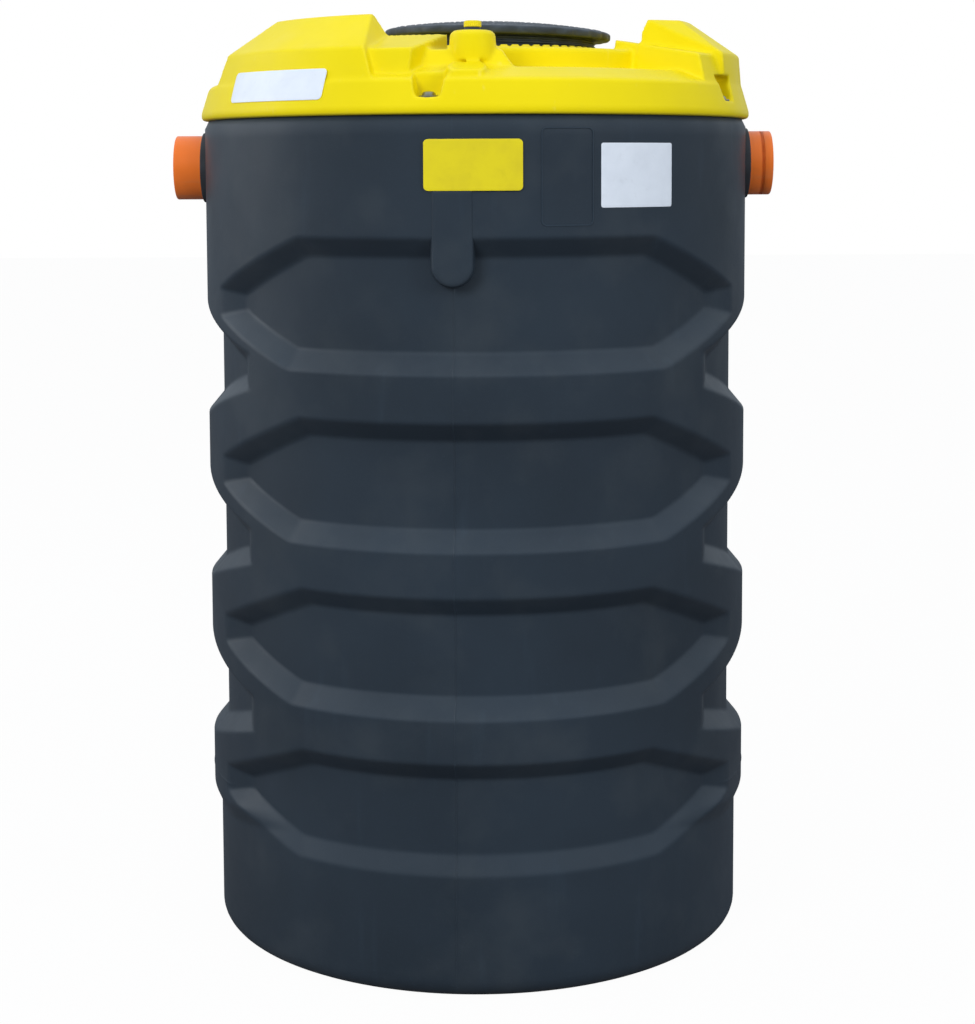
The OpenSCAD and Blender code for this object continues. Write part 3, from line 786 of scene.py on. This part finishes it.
def manhole_collar():
    """The ring round the neck, with small scallops along its upper edge."""
    inner = COLLAR_R - 8
    points = []
    columns = 720
    levels = [(inner, TURRET_Z - 1, 0), (COLLAR_R, TURRET_Z - 1, 0), (COLLAR_R, COLLAR_Z - 1.5, 1),
              (COLLAR_R - 1.2, COLLAR_Z, 1), (inner + 1.2, COLLAR_Z, 1), (inner, COLLAR_Z - 1.5, 1)]
    for k in range(columns):
        t = math.radians(k * 360 / columns)
        dip = 3.2 * max(0.0, math.cos(60 * t)) ** 0.8
        points += [(MANHOLE_X + r * math.cos(t), r * math.sin(t), z - w * dip)
                   for r, z, w in levels]
    obj = build("collar_scalloped", points, rings(columns, len(levels), True), 40)
    return dressed(obj, "cover", ["manhole_collar"])


manhole_collar()


# ---- vent ----

def vent():
    """The vent's plain neck and its knurled cap."""
    r = VENT_CAP_R
    neck = rounded([(0, VENT_BOSS_Z - 4), (r - 0.8, VENT_BOSS_Z - 4), (r - 0.8, VENT_CAP_LOW - 2),
                    (r - 2.5, VENT_CAP_LOW), (0, VENT_CAP_LOW)], 1)
    dressed(at_vent(revolved("vent_stub", neck, 96)), "lid", ["vent_neck"])
    columns = 192
    turn = np.radians(np.arange(columns) * 360 / columns)
    grip = 0.7 * (np.cos(24 * turn) > 0.2)
    outline = [(2.0, VENT_CAP_TOP, 0), (r - 3.4, VENT_CAP_TOP, 0),
               (r - 1.6, VENT_CAP_TOP - 0.5, 0.3), (r - 0.3, VENT_CAP_TOP - 2.2, 1),
               (r, VENT_CAP_TOP - 3, 1), (r, VENT_CAP_LOW + 0.6, 1),
               (r - 0.6, VENT_CAP_LOW, 1), (3.0, VENT_CAP_LOW, 0)]
    rows = []
    for q, z, share in outline:
        s = q - share * grip
        rows.append(np.stack([s * np.cos(turn), s * np.sin(turn), np.full(columns, z)], axis=-1))
    knob = build("vent_knob", np.concatenate(rows), capped(len(rows), columns), 40)
    dressed(at_vent(knob), "cover", ["vent_cap"])


vent()


# ---- pipes and seals ----

def pipe_and_seal(side, pipe, seal, name, grooves):
    """A pipe stub with fine grooves at distances from its end, and the rubber ring round it."""
    low, high = box(pipe)
    height = middle(pipe, 2)
    r = half_size(pipe, 2)
    end = max(abs(low.x), abs(high.x))
    start = min(abs(low.x), abs(high.x))
    wall = 3.2
    outline = [(r - wall, start), (r, start), (r, end - 40)]
    for at in grooves:
        outline += [(r, end - at - 1.4), (r - 0.5, end - at - 0.5),
                    (r - 0.5, end - at + 0.5), (r, end - at + 1.4)]
    outline += [(r, end - 2.2), (r - 0.9, end - 0.5), (r - 1.8, end),
                (r - wall + 0.7, end), (r - wall, end - 0.9)]
    dressed(along_x(revolved(name + "_stub", outline, 160, 30), side, height), "pipe", [pipe])
    face = max(abs(box(seal)[0].x), abs(box(seal)[1].x))
    out = half_size(seal, 2)
    ring = rounded([(r + 0.05, 500), (out, 500), (out, face - 0.5),
                    (r + 1.6, face + 0.6), (r + 0.05, face - 1.0)], 2.4)
    dressed(along_x(revolved(name + "_ring", ring, 160, 50), side, height), "seal", [seal])


pipe_and_seal(1, "inlet_pipe", "inlet_seal", "inlet", [17, 21])
pipe_and_seal(-1, "outlet_pipe", "outlet_seal", "outlet", [])


# ---- screws ----

def screw(index):
    """A domed screw head with a hexagonal socket on a washer, in one of the pockets."""
    columns = 96
    outline = [(0.01, 4.4, 0), (4.4, 4.4, 1), (4.6, 9.2, 1), (6.2, 9.4, 0), (9.2, 8.4, 0),
               (11.3, 6.2, 0), (12.2, 3.4, 0), (12.2, 2.4, 0), (17.2, 2.4, 0), (18.0, 1.8, 0),
               (18.0, -1.0, 0), (0.02, -1.0, 0)]
    points = []
    for r, z, hexagon in outline:
        for k in range(columns):
            t = math.tau * k / columns
            q = r / math.cos((t % (math.pi / 3)) - math.pi / 6) if hexagon else r
            points.append((q * math.cos(t), q * math.sin(t), z))
    obj = build("screw_%d" % (index + 1), points, rings(len(outline), columns), 30)
    socket_turn = Matrix.Rotation(math.radians(37 * index), 4, "Z")
    place = Matrix.Translation((0, -(LIP_R - 25) * MM, POCKET_FLOOR * MM))
    moved(obj, screw_turn(index) @ place @ socket_turn)
    obj.data.materials.append(SCREW)
    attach(obj, "root")


for i in range(SCREWS):
    screw(i)


# ---- stickers and moulded marks ----

def rounded_outline(width, height, corner):
    """A rectangle with rounded corners round the origin, with even steps along its sides."""
    count = 10
    points = []
    for cx, cy, start in ((1, 1, 0), (-1, 1, 90), (-1, -1, 180), (1, -1, 270)):
        for k in range(count + 1):
            t = math.radians(start + 90 * k / count)
            points.append((cx * (width / 2 - corner) + corner * math.cos(t),
                           cy * (height / 2 - corner) + corner * math.sin(t)))
    full = []
    for k, p in enumerate(points):
        q = points[(k + 1) % len(points)]
        steps = max(1, int(math.dist(p, q) / 6))
        full += [(p[0] + (q[0] - p[0]) * i / steps, p[1] + (q[1] - p[1]) * i / steps)
                 for i in range(steps)]
    return full


def sticker(name, outline, place, thick, material, slot, lift=0.1):
    """A thin bent sheet: the outline is mapped onto a surface by place(u, v, height)."""
    points = []
    levels = [(1.0, 0.0), (1.0, thick * 0.8), (0.992, thick)]
    levels += [(share, thick) for share in (0.9, 0.75, 0.55, 0.35, 0.15, 0.02)]
    for share, height in levels:
        points += [place(u * share, v * share, lift + height) for u, v in outline]
    return dressed(build(name, points, capped(len(levels), len(outline)), 60), slot, (), material)


def wall_place(azimuth, height):
    """Puts (u, v) on the tank's wall round a point, u along the wall and v upwards."""
    def place(u, v, out):
        a = math.radians(azimuth) + u / TANK_R
        r = TANK_R + out
        return (r * math.sin(a), -r * math.cos(a), height + v)
    return place


def front_place(x0, height):
    """Puts (x, z) on the front of the wall, straight behind where it is drawn."""
    def place(u, v, out):
        return on_wall(x0 + u, height + v, TANK_R + out)
    return place


def frame_on(name, outline_at, place, width, rise, slot):
    """A fine raised line along a closed outline, which outline_at(grow) gives a little larger."""
    points = []
    for grow, out in ((width / 2, -1.0), (width / 4, rise), (-width / 4, rise), (-width / 2, -1.0)):
        points += [place(u, v, out) for u, v in outline_at(grow)]
    return dressed(build(name, points, rings(4, len(points) // 4, True), 50), slot)


ON_RIB = 3.05            # lift of the label that lies over the rib's face
sticker("notice_sticker", rounded_outline(172, 89, 8), front_place(-4, 1491), 0.5,
        LABEL_YELLOW, "cover", ON_RIB)
sticker("data_sticker", rounded_outline(156, 113, 4), wall_place(32.9, 1472), 0.4,
        LABEL_WHITE, "cover")


def skirt_place(u, v, out):
    """Puts (u, v) on the left hump's outer face, which is less steep than the skirt below it."""
    z = 1633.5 + v
    below = SKIRT_Z - 5 - z
    r = SKIRT_R + (below * 14 / 47 if below > 0 else below / 3)
    a = math.radians(-44.0) + u / r
    return ((r + out) * math.sin(a), -(r + out) * math.cos(a), z)


sticker("hump_sticker", rounded_outline(250, 55, 9), skirt_place, 0.6, LABEL_WHITE, "cover", 0.9)


def turret_place(u, v, out):
    """Puts (u, v) on the turret's wall."""
    a = math.radians(-5.5) + u / TURRET_R
    r = TURRET_R + out
    return (MANHOLE_X + r * math.sin(a), -r * math.cos(a), DECK_Z + 24 + v)


corners = rounded([(73, 113.5), (127, 113.5), (100, 85)], 5)
sticker("turret_sticker", [(u - 100, v - 100) for u, v in corners], turret_place, 0.6,
        LABEL_AMBER, "cover", 0.7)
frame_on("panel_frame", lambda g: rounded_outline(90 + 2 * g, 169 + 2 * g, 9 + g),
         front_place(160, 1470), 3.2, 1.3, "tank")


# ---- finishes of the CAD nodes ----

SLOTS = {part["node"]: part["material_slot"] for part in frame["record"]["subparts"]}
for node_name, node in frame["nodes"].items():
    node.data.materials.clear()
    node.data.materials.append(FINISHES[SLOTS[node_name]])


# ---- camera, light and floor ----

SENSOR = 36
camera = bpy.data.objects.new("camera", bpy.data.cameras.new("camera"))
scene.collection.objects.link(camera)
scene.camera = camera
camera.data.sensor_fit = "HORIZONTAL"
camera.data.sensor_width = SENSOR
camera.data.lens = 2.07826 * SENSOR
camera.data.shift_x = 0.01159
camera.data.shift_y = -0.1719
camera.matrix_world = (
    Matrix.Translation((0, -4.030, 1.487))
    @ Matrix.Rotation(math.radians(90 - 5), 4, "X")
    @ Matrix.Rotation(math.radians(-0.25), 4, "Z")
)


def lamp(name, place, target, size, power, glossy=False):
    """A soft rectangular lamp, seen in reflections only if glossy."""
    light = bpy.data.lights.new(name, "AREA")
    light.shape = "RECTANGLE"
    light.size, light.size_y = size
    light.energy = power
    obj = bpy.data.objects.new(name, light)
    obj.location = place
    obj.rotation_euler = (Vector(target) - Vector(place)).to_track_quat("-Z", "Y").to_euler()
    obj.visible_glossy = glossy
    scene.collection.objects.link(obj)


lamp("key", (-4.2, -6.6, 4.4), (0, 0, 0.9), (3.2, 3.2), 350)
lamp("side", (-5.5, 0.8, 3.0), (0, 0, 1.0), (2.5, 3.5), 55, True)
lamp("fill", (5.6, -5.0, 3.4), (0, 0, 0.9), (2.8, 3.0), 200)
lamp("top", (0.0, 0.4, 5.6), (0, 0, 1.5), (3.0, 3.0), 24)

# The world is white to the camera; its light is bluish, stronger from above, and stronger in gloss.
world = bpy.data.worlds.new("studio")
scene.world = world
world.use_nodes = True
tree = world.node_tree
tree.nodes.clear()
path = add_node(tree, "ShaderNodeLightPath")
around = add_node(tree, "ShaderNodeTexCoord")
heading = add_node(tree, "ShaderNodeSeparateXYZ", {0: around.outputs["Generated"]})
rising = add_node(tree, "ShaderNodeMapRange", {
    "Value": heading.outputs["Z"],
    "From Min": 0.0, "From Max": 0.7, "To Min": 0.26, "To Max": 0.62,
})
gloss = add_node(tree, "ShaderNodeMath", {0: path.outputs["Is Glossy Ray"], 1: 0.9, 2: 1.0},
                 operation="MULTIPLY_ADD")
strength = add_node(tree, "ShaderNodeMath", {0: rising.outputs[0], 1: gloss.outputs[0]},
                    operation="MULTIPLY")
light_part = add_node(tree, "ShaderNodeBackground",
                      {"Color": (0.82, 0.91, 1.0, 1), "Strength": strength.outputs[0]})
shown_part = add_node(tree, "ShaderNodeBackground", {"Color": (1, 1, 1, 1), "Strength": 1.0})
blend = add_node(tree, "ShaderNodeMixShader", {
    0: path.outputs["Is Camera Ray"], 1: light_part.outputs[0], 2: shown_part.outputs[0],
})
add_node(tree, "ShaderNodeOutputWorld", {0: blend.outputs[0]})

# The floor is grey to the light and nearly white to the camera, with a little of the shadow left.
FLOOR = 30
floor_mesh = bpy.data.meshes.new("floor")
floor_mesh.from_pydata(
    [(-FLOOR, -FLOOR, 0), (FLOOR, -FLOOR, 0), (FLOOR, FLOOR, 0), (-FLOOR, FLOOR, 0)],
    [], [(0, 1, 2, 3)])
floor = bpy.data.objects.new("floor", floor_mesh)
scene.collection.objects.link(floor)
floor_look = bpy.data.materials.new("floor_white")
floor_look.use_nodes = True
tree = floor_look.node_tree
tree.nodes.clear()
path = add_node(tree, "ShaderNodeLightPath")
plain = add_node(tree, "ShaderNodeBsdfDiffuse", {"Color": (0.20, 0.20, 0.21, 1)})
glow = add_node(tree, "ShaderNodeEmission", {"Color": (1, 1, 1, 1), "Strength": 1.1})
share = add_node(tree, "ShaderNodeMath", {0: path.outputs["Is Camera Ray"], 1: 0.88},
                 operation="MULTIPLY")
blend = add_node(tree, "ShaderNodeMixShader",
                 {0: share.outputs[0], 1: plain.outputs[0], 2: glow.outputs[0]})
add_node(tree, "ShaderNodeOutputMaterial", {0: blend.outputs[0]})
floor_mesh.materials.append(floor_look)

scene.view_settings.view_transform = "Standard"
